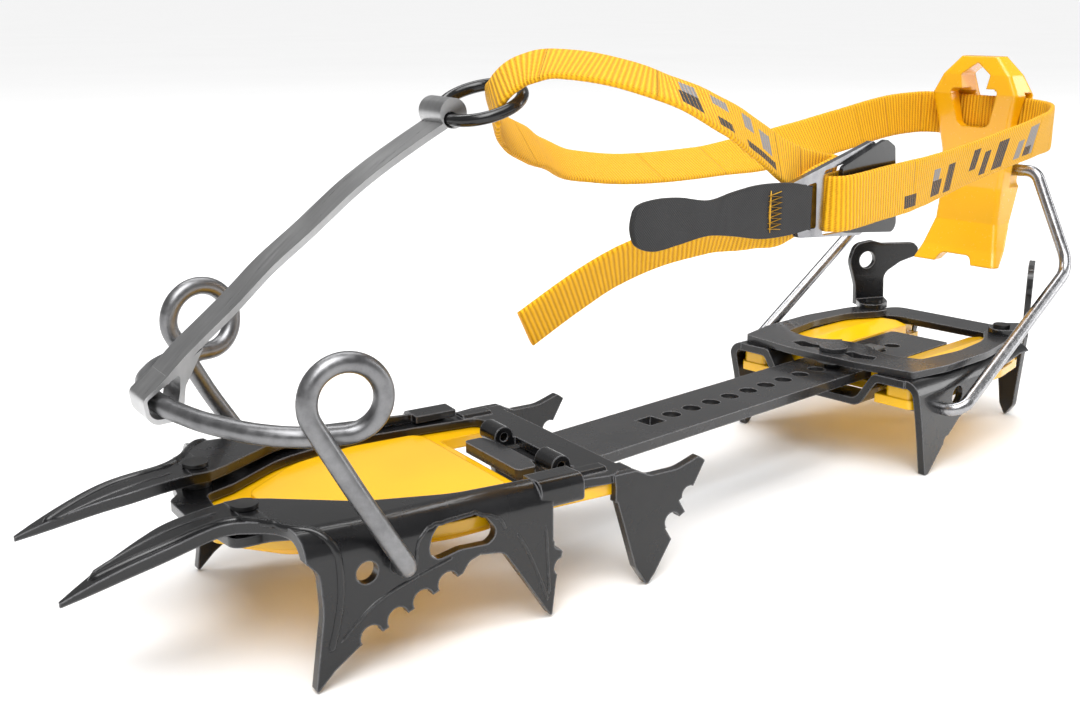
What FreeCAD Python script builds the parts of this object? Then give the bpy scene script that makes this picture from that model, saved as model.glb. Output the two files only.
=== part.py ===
"""Strap-and-lever mountaineering crampon, right as worn with its toe turned slightly inwards.

Millimetres. X runs from the toe to the heel, Y from the outer to the inner side, and Z is up,
with the tooth tips on z = 0. The centre bar and the heel section lie along X. The front section,
its toe bail and its link are drawn straight along X too, and then turned by FRONT_YAW about
(YAW_X, 0), because a crampon follows the banana shape of a boot sole. Last, every piece is moved
so that the origin lies under the middle of the whole crampon.
"""
import FreeCAD
import Part

import math
import os

from FreeCAD import Vector

# --- driving dimensions -------------------------------------------------------------------------
SHEET = 2.4                 # thickness of the pressed steel frames
FRONT_YAW = -9.7            # degrees that the front section is turned against the bar
YAW_X = 146.4               # place on the bar's line about which it is turned
ORIGIN_X = 169.6            # middle of the whole crampon, before it is moved to the origin
ORIGIN_Y = 8.5

RAIL_TOP_FRONT = 36.0       # top of the front rails at the root of the front points
RAIL_TOP_REAR = 33.7        # and at the rear clamps
RAIL_FRONT_X = 40.0
RAIL_REAR_X = 107.6
FRONT_HALF = 38.0           # half width over the side walls at the second teeth
FRONT_HALF_REAR = 34.6      # and at the third teeth
RAIL_BEND = 6.0             # outer radius of the fold between rail and wall
YOKE_TOP = 31.2             # top of the inner frame, which lies under the rails
YOKE_THICK = 2.2
HINGE_X = 118.6             # axis of the rolled barrels that the bar tilts about
HINGE_Z = 31.6
HINGE_Y = -4.6              # the slot for the bar is off the frame's middle by this much
SLOT_HALF = 9.4
BARREL_R = 2.8

BAR_WIDTH = 22.0
BAR_THICK = 3.0
BAR_TOP = 28.2
BAR_END_X = 303.0
BAR_HOLE_X = 165.8
BAR_HOLE_PITCH = 8.56
BAR_HOLE_COUNT = 15
BAR_HOLE_R = 2.7

HEEL_TOP = 30.6             # top of the heel frame's flanges, under the cradle plate
HEEL_HALF = 36.0
HEEL_FRONT_X = 243.6
HEEL_REAR_X = 328.4
HEEL_BEND = 5.0
CRADLE_THICK = 2.2
CRADLE_GAP = 0.05
LATCH_HOLE = 10             # number of the bar hole that the latch pin stands in

TOE_WIRE_R = 2.2
TOE_HOLE_X = 66.2
TOE_HOLE_Z = 25.1
TOE_HOLE_R = 2.28
HEEL_WIRE_R = 2.0
HEEL_HOLE_X = 257.8
HEEL_HOLE_Z = 20.3
HEEL_HOLE_R = 2.08
LEVER_PIN_X = 336.0
LEVER_PIN_Z = 84.0

WEB_WIDTH = 14.0
WEB_THICK = 1.6
RING_R = 9.9
RING_WIRE_R = 1.45


# --- outlines, plates and wires -----------------------------------------------------------------
def corner_arc(before, corner, after, radius):
    """Tangent points and middle of the arc that rounds one corner of an outline."""
    to_before = (before - corner).normalize()
    to_after = (after - corner).normalize()
    half = to_before.getAngle(to_after) / 2.0
    reach = radius / math.tan(half)
    centre = corner + (to_before + to_after).normalize() * (radius / math.sin(half))
    start = corner + to_before * reach
    end = corner + to_after * reach
    middle = centre + (corner - centre).normalize() * radius
    return start, middle, end


def rounded_edges(points, closed):
    """Straight edges through (Vector, radius) points, with an arc at each point with a radius."""
    count = len(points)
    edges = []
    joints = []
    for index, (place, radius) in enumerate(points):
        inner = closed or 0 < index < count - 1
        if radius and inner:
            before = points[index - 1][0]
            after = points[(index + 1) % count][0]
            joints.append(corner_arc(before, place, after, radius))
        else:
            joints.append((place, None, place))
    for index in range(count if closed else count - 1):
        start, middle, end = joints[index]
        if middle is not None:
            edges.append(Part.Arc(start, middle, end).toShape())
        following = joints[(index + 1) % count][0]
        if end.distanceToPoint(following) > 1e-4:
            edges.append(Part.LineSegment(end, following).toShape())
    return edges


def outline(points, plane, level=0.0):
    """Closed wire from (u, v) or (u, v, corner radius) points in plane 'xy', 'xz' or 'yz'."""
    placed = []
    for point in points:
        u, v = point[0], point[1]
        radius = point[2] if len(point) > 2 else 0.0
        spots = {"xy": Vector(u, v, level), "xz": Vector(u, level, v), "yz": Vector(level, u, v)}
        placed.append((spots[plane], radius))
    return Part.Wire(rounded_edges(placed, True))


def prism(points, plane, low, high):
    """Solid with the given outline, from low to high along the plane's normal."""
    along = {"xy": Vector(0, 0, 1), "xz": Vector(0, 1, 0), "yz": Vector(1, 0, 0)}[plane]
    face = Part.Face(outline(points, plane, low))
    return face.extrude(along * (high - low))


def wire_rod(points, radius):
    """Round rod along (Vector, bend radius) points."""
    edges = rounded_edges(points, False)
    path = Part.Wire(edges)
    first = points[0][0]
    direction = points[1][0] - first
    profile = Part.Wire(Part.makeCircle(radius, first, direction))
    return path.makePipeShell([profile], True, False, 2)


def cylinder(radius, length, base, axis):
    return Part.makeCylinder(radius, length, Vector(*base), Vector(*axis))


def box(low, high):
    size = [high[axis] - low[axis] for axis in range(3)]
    return Part.makeBox(size[0], size[1], size[2], Vector(*low))


def mirrored(shape):
    """The same shape on the other side of the plane y = 0."""
    return shape.mirror(Vector(0, 0, 0), Vector(0, 1, 0))


def joined(shapes):
    whole = shapes[0]
    for shape in shapes[1:]:
        whole = whole.fuse(shape)
    return whole.removeSplitter()


def both_sides(shape):
    return joined([shape, mirrored(shape)])


# --- front section ------------------------------------------------------------------------------
def rail_top(x):
    share = (x - RAIL_FRONT_X) / (RAIL_REAR_X - RAIL_FRONT_X)
    return RAIL_TOP_FRONT + (RAIL_TOP_REAR - RAIL_TOP_FRONT) * share


def wall_half(x):
    share = max(0.0, (x - 62.0) / (RAIL_REAR_X - 62.0))
    return FRONT_HALF + (FRONT_HALF_REAR - FRONT_HALF) * share


def rail_section(x):
    """Rail and side wall cut across at x, as a closed L with a rounded fold."""
    top = rail_top(x)
    outer = wall_half(x)
    points = [
        (5.0, top),
        (outer, top, RAIL_BEND),
        (outer, -3.0),
        (outer - SHEET, -3.0),
        (outer - SHEET, top - SHEET, RAIL_BEND - SHEET),
        (5.0, top - SHEET),
    ]
    return outline(points, "yz", x)


def front_wall_outline():
    """Side view of rail, second tooth, bridge and third tooth."""
    return [
        (38.0, 45.0), (38.0, 32.5), (42.5, 32.5, 3.0), (47.6, 27.0, 5.0), (48.2, 18.0, 20.0),
        (45.6, 0.0, 0.4), (50.4, 4.6), (56.0, 8.4), (82.3, 18.2), (84.2, 20.6, 2.0),
        (87.0, 21.4), (93.6, 20.2, 4.0), (107.3, 0.0, 0.4), (108.6, 9.4), (110.4, 16.0),
        (107.7, 19.5), (107.6, 45.0),
    ]


def front_bites():
    """Scallops in the rear edges of the second and third teeth."""
    cutters = []
    for index in range(4):
        cutters.append((58.9 + 6.5 * index, 10.0 + 2.35 * index, 2.6))
    cutters.append((110.2, 12.3, 2.2))
    cutters.append((109.9, 18.6, 1.9))
    return [cylinder(radius, 60.0, (x, 0, z), (0, 1, 0)) for x, z, radius in cutters]


def front_plan_outline():
    """Top view of one side: front point, rail with its inner edge, and the wall's outside."""
    return [
        (0.0, 19.3), (0.0, 20.3, 0.4), (21.0, 23.2, 30.0), (34.5, 21.2, 9.0),
        (43.6, 28.0, 9.0), (45.0, 40.0), (120.0, 40.0), (120.0, 27.6), (104.0, 29.3, 30.0),
        (84.0, 29.4, 30.0), (64.0, 24.0, 25.0), (47.5, 13.0, 6.0), (42.0, 10.0, 3.0),
        (24.0, 11.0, 20.0),
    ]


def front_point_band():
    """Side view of the sheet from the rail down to the tip of a front point."""
    top = [Vector(48, 0, rail_top(48)), Vector(40, 0, 36.0), Vector(30, 0, 35.2)]
    top += [Vector(20, 0, 33.3), Vector(10, 0, 30.2), Vector(0, 0, 26.0)]
    low = [Vector(0, 0, 25.0), Vector(10, 0, 27.8), Vector(20, 0, 30.6)]
    low += [Vector(30, 0, 32.5), Vector(40, 0, 33.4), Vector(48, 0, rail_top(48) - SHEET)]
    upper = Part.BSplineCurve()
    upper.interpolate(top)
    lower = Part.BSplineCurve()
    lower.interpolate(low)
    edges = [upper.toShape()]
    edges.append(Part.LineSegment(top[-1], low[0]).toShape())
    edges.append(lower.toShape())
    edges.append(Part.LineSegment(low[-1], top[0]).toShape())
    return Part.Face(Part.Wire(edges)).extrude(Vector(0, 45, 0))


def clamp_tab():
    """Rear end of the rail, folded round the inner frame's arm."""
    outer = FRONT_HALF_REAR
    hook = [
        (26.5, RAIL_TOP_REAR), (outer - 0.2, RAIL_TOP_REAR + 0.4, 2.6), (outer - 0.2, 27.2, 1.6),
        (31.4, 27.2), (31.4, 28.7), (outer - 1.9, 28.7, 0.6), (outer - 1.9, RAIL_TOP_REAR - 1.9, 1.2),
        (26.5, RAIL_TOP_REAR - 1.9),
    ]
    return prism(hook, "yz", 104.6, 116.6)


def make_front_frame():
    stations = [38.0, 62.0, 85.0, 112.0]
    lofts = []
    for start, end in zip(stations, stations[1:]):
        lofts.append(Part.makeLoft([rail_section(start), rail_section(end)], True, True))
    rail = joined(lofts)
    side = prism(front_wall_outline(), "xz", 0.0, 45.0)
    plan = prism(front_plan_outline(), "xy", -5.0, 50.0)
    rail = rail.common(side).common(plan)
    point = front_point_band().common(plan).common(box((-1, 0, 0), (42.5, 45, 60)))
    half = joined([rail, point, clamp_tab()])
    window = [
        (72.8, 22.6, 3.0), (75.0, 31.4, 4.6), (87.6, 31.4, 4.6), (92.3, 25.4, 2.2),
        (89.4, 23.4, 2.0), (82.0, 24.0, 6.0),
    ]
    half = half.cut(prism(window, "xz", 20.0, 45.0))
    for cutter in front_bites():
        half = half.cut(cutter)
    half = half.cut(cylinder(2.55, 20.0, (58.4, 28, 24.9), (0, 1, 0)))
    half = half.cut(cylinder(TOE_HOLE_R, 20.0, (TOE_HOLE_X, 28, TOE_HOLE_Z), (0, 1, 0)))
    half = half.cut(cylinder(1.55, 20.0, (40.6, 15.6, 25), (0, 0, 1)))
    return Part.makeCompound([half, mirrored(half)])


def arm_outline():
    """Top view of one arm of the inner frame, from its front bridge to the rear corner."""
    return [
        (32.0, -0.1), (32.0, 9.0, 3.0), (35.0, 12.5, 3.0), (36.0, 20.6, 3.0), (44.0, 20.6, 8.0),
        (62.0, 28.0, 30.0), (84.0, 31.4, 40.0), (104.0, 29.3, 10.0), (108.4, 29.3, 6.0),
        (127.0, 32.6, 5.0),
        (131.8, 28.0, 5.0), (131.8, -0.1), (122.0, -0.1), (122.0, 23.6, 3.0), (108.0, 25.0, 30.0),
        (84.0, 26.6, 30.0), (64.0, 22.0, 25.0), (48.0, 11.5, 7.0), (40.4, 8.4, 3.0), (39.4, -0.1),
    ]


def side_tooth_outline():
    """Side view of the fourth tooth: a swept-back plate with an upper and a lower point."""
    return [
        (126.6, 31.0), (127.4, 24.6, 6.0), (133.4, 5.4), (137.0, 0.0, 0.5), (139.4, 2.6),
        (144.4, 10.6), (142.4, 13.9), (148.6, 17.0), (146.6, 20.4), (151.0, 23.4),
        (154.6, 29.6, 0.5), (152.6, 31.0, 0.5), (146.0, 28.9, 10.0), (137.4, 28.9, 4.0),
        (133.2, 31.0, 3.0),
    ]


def side_tooth():
    plate = prism(side_tooth_outline(), "xz", 30.4, 30.4 + SHEET)
    for x, z in ((144.6, 15.4), (149.8, 21.4)):
        plate = plate.cut(cylinder(2.3, 40.0, (x, 10, z), (0, 1, 0)))
    fold = prism([(26.0, YOKE_TOP), (32.8, YOKE_TOP, 2.8), (32.8, 24.0), (30.4, 24.0),
                  (30.4, YOKE_TOP - YOKE_THICK, 0.5), (26.0, YOKE_TOP - YOKE_THICK)],
                 "yz", 127.0, 133.0)
    return [plate, fold]


def barrel(low, high):
    """Rolled end of the cross plate, open along its middle."""
    axis = (HINGE_X, low, HINGE_Z)
    tube = cylinder(BARREL_R, high - low, axis, (0, 1, 0))
    web = box((HINGE_X, low, YOKE_TOP - YOKE_THICK), (123.4, high, YOKE_TOP))
    tube = tube.fuse(web)
    return tube.cut(cylinder(BARREL_R - 1.7, high - low, axis, (0, 1, 0)))


def make_cross_yoke():
    plate = prism(arm_outline(), "xy", YOKE_TOP - YOKE_THICK, YOKE_TOP)
    half = joined([plate] + side_tooth())
    whole = both_sides(half)
    bead = prism([(24.4, YOKE_TOP), (25.2, YOKE_TOP + 0.9, 0.5), (28.4, YOKE_TOP + 0.9, 0.5),
                  (29.2, YOKE_TOP)], "yz", 118.0, 127.0)
    low = HINGE_Y - SLOT_HALF
    high = HINGE_Y + SLOT_HALF
    pieces = [whole, bead, mirrored(bead)]
    pieces.append(barrel(low - 7.6, low))
    pieces.append(barrel(high, high + 7.6))
    whole = joined(pieces)
    for side in (-1, 1):
        whole = whole.cut(cylinder(1.55, 20.0, (40.6, 15.6 * side, 25), (0, 0, 1)))
    return whole


def make_front_antibott():
    """Springy plastic plate that keeps snow from balling under the forefoot."""
    half = [
        (36.5, -0.1), (36.5, 7.0, 3.0), (45.5, 17.5, 8.0), (62.0, 28.2, 25.0), (84.0, 31.8, 40.0),
        (103.0, 31.0, 2.0), (103.0, 27.0), (107.4, 26.0, 2.0), (107.4, -0.1),
    ]
    plate = both_sides(prism(half, "xy", 25.6, 28.6))
    skirt = both_sides(prism([(40.5, -0.1), (40.5, 6.0, 3.0), (49.0, 16.5, 8.0),
                              (64.0, 25.6, 20.0), (84.0, 29.2, 20.0), (98.0, 28.6, 6.0),
                              (98.0, -0.1)], "xy", 23.4, 25.7))
    crown = both_sides(prism([(50.0, -0.1), (50.0, 7.0, 5.0), (66.0, 19.4, 20.0),
                              (84.0, 23.6, 20.0), (103.5, 23.0, 4.0), (103.5, -0.1)],
                             "xy", 28.5, 30.2))
    lip = prism([(97.0, 27.0), (97.0, 30.4, 1.5), (129.0, 31.0, 2.5), (129.0, 18.8, 2.0),
                 (107.0, 18.8), (107.0, 27.0)], "xy", 25.6, 28.6)
    block = prism([(100.5, 30.4), (100.5, 20.0), (109.0, 20.0), (109.0, 31.6, 2.0),
                   (101.5, 31.6, 2.0)], "xy", 22.4, 26.6)
    side = joined([lip, block])
    whole = joined([plate, skirt, crown, side, mirrored(side)])
    whole = whole.cut(box((104.0, HINGE_Y - 14.0, 20.0), (112.0, HINGE_Y + 14.0, 27.0)))
    for hand in (-1, 1):
        whole = whole.cut(cylinder(3.0, 3.0, (40.6, 15.6 * hand, 27.6), (0, 0, 1)))
    return whole


def make_front_rivets():
    """Two rivets through the roots of the front points and the inner frame's bridge."""
    rivets = []
    for side in (-1, 1):
        spot = (40.6, 15.6 * side)
        shank = cylinder(1.5, RAIL_TOP_FRONT - YOKE_TOP + YOKE_THICK + 0.8,
                         (spot[0], spot[1], YOKE_TOP - YOKE_THICK - 0.3), (0, 0, 1))
        head = cylinder(3.0, 0.9, (spot[0], spot[1], RAIL_TOP_FRONT + 0.15), (0, 0, 1))
        tail = cylinder(2.6, 1.0, (spot[0], spot[1], YOKE_TOP - YOKE_THICK - 1.0), (0, 0, 1))
        collar = cylinder(3.4, 33.1 - YOKE_TOP, (spot[0], spot[1], YOKE_TOP + 0.05), (0, 0, 1))
        rivets.append(joined([shank, head, tail, collar]))
    return Part.makeCompound(rivets)


# --- centre bar ---------------------------------------------------------------------------------
def make_center_bar():
    """Flat bar with a row of holes and a T head, which hooks in front of the barrels."""
    low = BAR_TOP - BAR_THICK
    half = BAR_WIDTH / 2.0
    strip = prism([(129.0, -half), (BAR_END_X, -half, 1.5), (BAR_END_X, half, 1.5),
                   (129.0, half)], "xy", low, BAR_TOP)
    for number in range(BAR_HOLE_COUNT):
        centre = (BAR_HOLE_X + number * BAR_HOLE_PITCH, 0, low - 1)
        if number == 0:
            corner = (centre[0] - 3.4, -3.0, low - 1)
            strip = strip.cut(box(corner, (centre[0] + 3.0, 3.0, BAR_TOP + 1)))
        else:
            strip = strip.cut(cylinder(BAR_HOLE_R, BAR_THICK + 2, centre, (0, 0, 1)))
    return joined([strip, bar_head()])


def bar_head():
    """Neck and T head, square to the front section and so turned against the bar."""
    low = BAR_TOP - BAR_THICK
    neck_half = SLOT_HALF - 0.7
    neck = [
        (108.6, HINGE_Y - 13.0, 1.5), (114.0, HINGE_Y - 13.0, 1.0), (115.2, HINGE_Y - neck_half),
        (124.0, HINGE_Y - neck_half), (134.0, HINGE_Y - 7.6), (134.0, HINGE_Y + 10.8),
        (124.0, HINGE_Y + neck_half), (115.2, HINGE_Y + neck_half),
        (114.0, HINGE_Y + 13.0, 1.0), (108.6, HINGE_Y + 13.0, 1.5),
    ]
    band = prism([(108.6, 28.6), (114.8, 28.6, 1.5), (117.0, low, 1.5), (134.0, low),
                  (134.0, BAR_TOP), (118.2, BAR_TOP, 1.5), (116.0, 31.4, 1.5), (108.6, 31.4)],
                 "xz", -40.0, 40.0)
    head = prism(neck, "xy", 20.0, 40.0).common(band)
    return turned_front(head)


# --- heel section -------------------------------------------------------------------------------
def heel_wall_outline():
    """Side view of the heel frame's wall and its front tooth."""
    return [
        (HEEL_FRONT_X, 40.0), (244.4, 27.0, 8.0), (247.0, 18.0), (251.2, 0.0, 0.5),
        (253.0, 0.4, 0.4), (261.2, 9.0), (267.8, 14.2), (276.9, 19.4, 3.0), (290.0, 26.2, 10.0),
        (306.0, 28.4), (312.0, 28.4), (312.0, 40.0),
    ]


def heel_side():
    """Flange and wall of one side, with holes and scallops."""
    section = [
        (29.0, HEEL_TOP), (HEEL_HALF, HEEL_TOP, HEEL_BEND), (HEEL_HALF, -3.0),
        (HEEL_HALF - SHEET, -3.0), (HEEL_HALF - SHEET, HEEL_TOP - SHEET, HEEL_BEND - SHEET),
        (29.0, HEEL_TOP - SHEET),
    ]
    body = prism(section, "yz", HEEL_FRONT_X, 312.0)
    body = body.common(prism(heel_wall_outline(), "xz", 0.0, 45.0))
    for x, z, radius in ((262.6, 8.4, 2.1), (269.6, 13.0, 2.1)):
        body = body.cut(cylinder(radius, 40.0, (x, 10, z), (0, 1, 0)))
    body = body.cut(cylinder(3.1, 12.0, (266.6, 30, 22.6), (0, 1, 0)))
    return body.cut(cylinder(HEEL_HOLE_R, 12.0, (HEEL_HOLE_X, 30, HEEL_HOLE_Z), (0, 1, 0)))


def heel_apron():
    """Front edge of the heel frame, dropped into a channel that the bar runs through."""
    top = HEEL_TOP
    channel = [
        (-31.0, top), (-20.0, top, 2.0), (-14.2, 21.6, 3.5), (14.2, 21.6, 3.5), (20.0, top, 2.0),
        (31.0, top), (31.0, top - SHEET), (21.4, top - SHEET, 2.0), (15.6, 19.4, 4.5),
        (-15.6, 19.4, 4.5), (-21.4, top - SHEET, 2.0), (-31.0, top - SHEET),
    ]
    return prism(channel, "yz", HEEL_FRONT_X, 254.0)


def heel_rear():
    """Rear cross member with its two teeth."""
    plan = [
        (296.0, 29.0), (296.0, HEEL_HALF - 1.6, 2.0), (311.0, HEEL_HALF - 3.4, 12.0),
        (HEEL_REAR_X, 25.0, 5.0), (HEEL_REAR_X, -0.1), (315.6, -0.1), (315.6, 18.0, 8.0),
        (306.0, 28.0, 8.0),
    ]
    plate = prism(plan, "xy", HEEL_TOP - SHEET, HEEL_TOP)
    tooth = prism([(15.6, HEEL_TOP - 0.5), (19.4, 4.0, 3.0), (21.6, 0.0, 0.5), (24.4, 4.0, 3.0),
                   (26.4, HEEL_TOP - 0.5)], "yz", HEEL_REAR_X - SHEET, HEEL_REAR_X)
    return joined([plate, tooth])


def make_heel_frame():
    side = joined([heel_side(), heel_rear()])
    whole = joined([side, mirrored(side), heel_apron()])
    for hand in (-1, 1):
        whole = whole.cut(cylinder(1.55, 12.0, (311.6, 25.0 * hand, 24), (0, 0, 1)))
    return whole


def cradle_outline():
    """Top view of one side of the plate that the boot's heel stands on."""
    return [
        (244.0, -0.1), (244.2, 12.0, 30.0), (247.2, 31.6, 1.2), (262.0, 34.4, 20.0),
        (285.0, 34.8, 40.0), (306.0, 31.4, 20.0), (315.4, 27.6, 2.0), (314.6, 19.6, 3.0),
        (308.0, 20.6, 8.0), (298.0, 26.4, 20.0), (280.0, 27.8, 30.0), (262.0, 25.2, 2.0),
        (257.4, 11.0, 12.0), (263.4, 7.0, 8.0), (264.6, -0.1),
    ]


def make_heel_cradle():
    low = HEEL_TOP + CRADLE_GAP
    plate = both_sides(prism(cradle_outline(), "xy", low, low + CRADLE_THICK))
    wing = prism([(251.0, 3.6, 0.6), (254.6, 5.4, 1.0), (253.4, 9.0, 1.0), (254.4, 14.0, 0.6),
                  (250.6, 15.6, 0.8), (247.8, 9.6, 1.5)], "xy", low - 1, low + 5)
    plate = plate.cut(wing).cut(mirrored(wing))
    plate = plate.cut(cylinder(2.9, 10.0, (latch_x(), 0, low - 2), (0, 0, 1)))
    for hand in (-1, 1):
        plate = plate.cut(cylinder(1.55, 12.0, (311.6, 25.0 * hand, 24), (0, 0, 1)))
    return plate


def post_outline():
    """Face view of a side post: stem, eye and rearward nose, along its own run and up."""
    return [
        (-2.0, 32.0), (-2.4, 40.0, 8.0), (-5.3, 49.0, 6.0), (-3.4, 55.2, 4.0), (3.4, 56.2, 4.0),
        (8.0, 54.9, 4.0), (20.6, 54.5, 1.4), (22.6, 52.6, 1.4), (22.4, 49.8, 0.6),
        (15.4, 47.8, 8.0), (8.9, 43.8, 4.0), (9.6, 32.0),
    ]


def cradle_post():
    """Upright stop beside the boot's heel, with a foot riveted on the cradle plate."""
    low = HEEL_TOP + CRADLE_THICK + 2 * CRADLE_GAP
    plate = prism(post_outline(), "xz", -1.0, 1.0)
    plate = plate.cut(cylinder(3.1, 6.0, (1.7, -3, 49.2), (0, 1, 0)))
    foot = prism([(-2.0, -1.0), (-4.6, -9.0, 3.0), (1.0, -12.6, 4.0), (7.0, -8.0, 3.0), (9.6, -1.0),
                  (9.6, 1.0), (-2.0, 1.0)], "xy", low, low + 2.0)
    stem = plate.common(box((-10, -5, low), (30, 5, 70)))
    post = joined([stem, foot])
    post.rotate(Vector(0, 0, 0), Vector(0, 0, 1), -26.0)
    post.translate(Vector(313.6, 32.4, 0))
    return post.cut(cylinder(1.55, 12.0, (311.6, 25.0, 28), (0, 0, 1)))


def make_cradle_posts():
    post = cradle_post()
    return Part.makeCompound([post, mirrored(post)])


def make_cradle_rivets():
    """Two rivets through post, cradle plate and heel frame."""
    low = HEEL_TOP - SHEET
    high = HEEL_TOP + CRADLE_THICK + 2 * CRADLE_GAP + 2.0
    rivets = []
    for hand in (-1, 1):
        x, y = 311.6, 25.0 * hand
        shank = cylinder(1.5, high - low + 0.4, (x, y, low - 0.2), (0, 0, 1))
        head = cylinder(2.7, 0.9, (x, y, high), (0, 0, 1))
        tail = cylinder(2.7, 0.9, (x, y, low - 0.9), (0, 0, 1))
        rivets.append(joined([shank, head, tail]))
    return Part.makeCompound(rivets)


def make_heel_antibott():
    """Springy plastic plate under the heel, with skirts that show below the frame."""
    plan = [
        (256.0, -0.1), (256.0, 16.4), (254.3, 19.3), (246.0, 19.6), (246.0, 32.6, 2.0), (300.0, 32.6, 8.0),
        (316.0, 29.6, 8.0), (324.0, 22.0, 5.0), (324.0, 13.4), (308.0, 13.4), (308.0, -0.1),
    ]
    plate = both_sides(prism(plan, "xy", 21.2, 24.0))
    skirt = prism([(246.4, 22.6, 2.0), (246.4, 31.9, 2.0), (253.0, 31.9, 2.0), (253.0, 22.6, 2.0)],
                  "xy", 23.9, 27.4)
    rear = prism([(300.0, 24.6), (300.0, 31.2, 2.0), (313.0, 30.4, 6.0), (324.0, 21.6, 4.0),
                  (324.0, 16.0), (318.0, 16.0), (312.0, 24.6, 4.0)], "xy", 23.9, 27.1)
    crown = prism([(12.2, 23.9), (12.2, 28.4), (20.0, 30.2), (27.2, 30.2), (27.2, 23.9)],
                  "yz", 255.0, 313.8)
    crown = crown.common(prism([(255.0, 12.0), (255.0, 27.3), (302.4, 27.3), (313.8, 16.6),
                                (313.8, 12.0)], "xy", 20.0, 32.0))
    parts = [skirt, rear, crown]
    whole = joined([plate] + parts + [mirrored(part) for part in parts])
    for hand in (-1, 1):
        whole = whole.cut(cylinder(3.6, 10.0, (HEEL_HOLE_X, 29.2 * hand - 5.0, HEEL_HOLE_Z), (0, 1, 0)))
    return whole


def latch_x():
    return BAR_HOLE_X + LATCH_HOLE * BAR_HOLE_PITCH


def make_latch_pin():
    """Round button over the cradle plate, with the pin that drops into a hole of the bar."""
    x = latch_x()
    low = HEEL_TOP + CRADLE_GAP
    pin = cylinder(2.5, low + 2.6 - (BAR_TOP - 2.4), (x, 0, BAR_TOP - 2.4), (0, 0, 1))
    button = cylinder(4.4, 1.3, (x, 0, low + CRADLE_THICK + 0.15), (0, 0, 1))
    return joined([pin, button])


def make_latch_spring():
    """Leaf that carries the pin and holds it down in the bar."""
    x = latch_x()
    leaf = prism([(x - 5.0, -5.0, 4.0), (x - 5.0, 5.0, 4.0), (277.0, 3.2, 1.0), (277.0, -3.2, 1.0)],
                 "xy", 29.3, 29.9)
    return leaf.cut(cylinder(2.6, 4.0, (x, 0, 27.5), (0, 0, 1)))


# --- rear bail and heel lever -------------------------------------------------------------------
def make_rear_bail():
    """One bent wire: from inside one wall, up through the lever, and back to the other wall."""
    hole = (HEEL_HOLE_X, HEEL_HOLE_Z)
    pin = (LEVER_PIN_X, LEVER_PIN_Z)
    route = [
        (Vector(hole[0], -29.4, hole[1]), 0),
        (Vector(hole[0], -42.2, hole[1]), 5.0),
        (Vector(331.5, -36.5, 54.0), 11.0),
        (Vector(pin[0], -19.6, pin[1]), 5.0),
        (Vector(pin[0], 17.0, pin[1]), 5.0),
        (Vector(322.5, 37.4, 64.1), 11.0),
        (Vector(hole[0], 42.2, hole[1]), 5.0),
        (Vector(hole[0], 29.4, hole[1]), 0),
    ]
    rod = wire_rod(route, HEEL_WIRE_R)
    stops = []
    for side in (-1, 1):
        stops.append(cylinder(3.0, 2.4, (hole[0], 27.0 * side - 1.2, hole[1]), (0, 1, 0)))
    core = cylinder(HEEL_WIRE_R, 60.0, (hole[0], -30.0, hole[1]), (0, 1, 0))
    ends = core.cut(box((200, -28.0, 0), (400, 28.0, 60)))
    return joined([rod, ends] + stops)


def lever_section(z, front, back, half, middle):
    """Lever cut across at height z, as a rounded box."""
    points = [
        (front, middle - half + 1.2, 1.6), (back, middle - half, 2.2),
        (back, middle + half, 2.2), (front, middle + half - 1.2, 1.6),
    ]
    return outline(points, "xy", z)


def make_heel_lever():
    """Moulded lever: a lip for the heel welt, a bore for the bail and a slot for the strap."""
    middle = -0.4
    rows = [
        (52.0, 319.4, 324.0, 16.6), (57.0, 322.0, 329.4, 15.0), (66.0, 325.4, 335.0, 12.8),
        (78.0, 326.8, 339.8, 12.4), (90.0, 326.6, 340.4, 13.2), (102.0, 325.0, 338.2, 15.2),
        (109.5, 324.0, 335.6, 16.8), (116.0, 324.6, 334.0, 13.6), (122.0, 326.2, 332.6, 8.0),
    ]
    sections = [lever_section(z, front, back, half, middle) for z, front, back, half in rows]
    body = Part.makeLoft(sections, True, True)
    slot = box((329.4, -40, 93.2), (333.2, 40, 110.4))
    body = body.cut(slot)
    scallop = prism([(-9.0 + middle, 111.4, 1.5), (9.0 + middle, 111.4, 1.5),
                     (5.6 + middle, 98.4, 3.0), (-5.6 + middle, 98.4, 3.0)], "yz", 318.0, 330.4)
    pentagon = prism([(middle, 120.0, 0.8), (5.4 + middle, 116.0, 0.8), (3.4 + middle, 106.0, 0.8),
                      (-3.4 + middle, 106.0, 0.8), (-5.4 + middle, 116.0, 0.8)],
                     "yz", 318.0, 345.0)
    notch = prism([(-8.0 + middle, 50.0), (-5.4 + middle, 55.0, 2.5), (5.4 + middle, 55.0, 2.5),
                   (8.0 + middle, 50.0)], "yz", 315.0, 345.0)
    bore = cylinder(HEEL_WIRE_R + 0.08, 60.0, (LEVER_PIN_X, -30, LEVER_PIN_Z), (0, 1, 0))
    relief = joined([
        prism([(middle - 20.0, 78.0, 2.0), (middle - 10.4, 78.0, 2.0), (middle - 10.4, 91.0, 2.0),
               (middle - 20.0, 91.0, 2.0)], "yz", 332.6, 345.0),
        prism([(middle + 20.0, 78.0, 2.0), (middle + 10.4, 78.0, 2.0), (middle + 10.4, 91.0, 2.0),
               (middle + 20.0, 91.0, 2.0)], "yz", 332.6, 345.0),
    ])
    for cutter in (scallop, pentagon, notch, relief, bore):
        body = body.cut(cutter)
    return body


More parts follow.
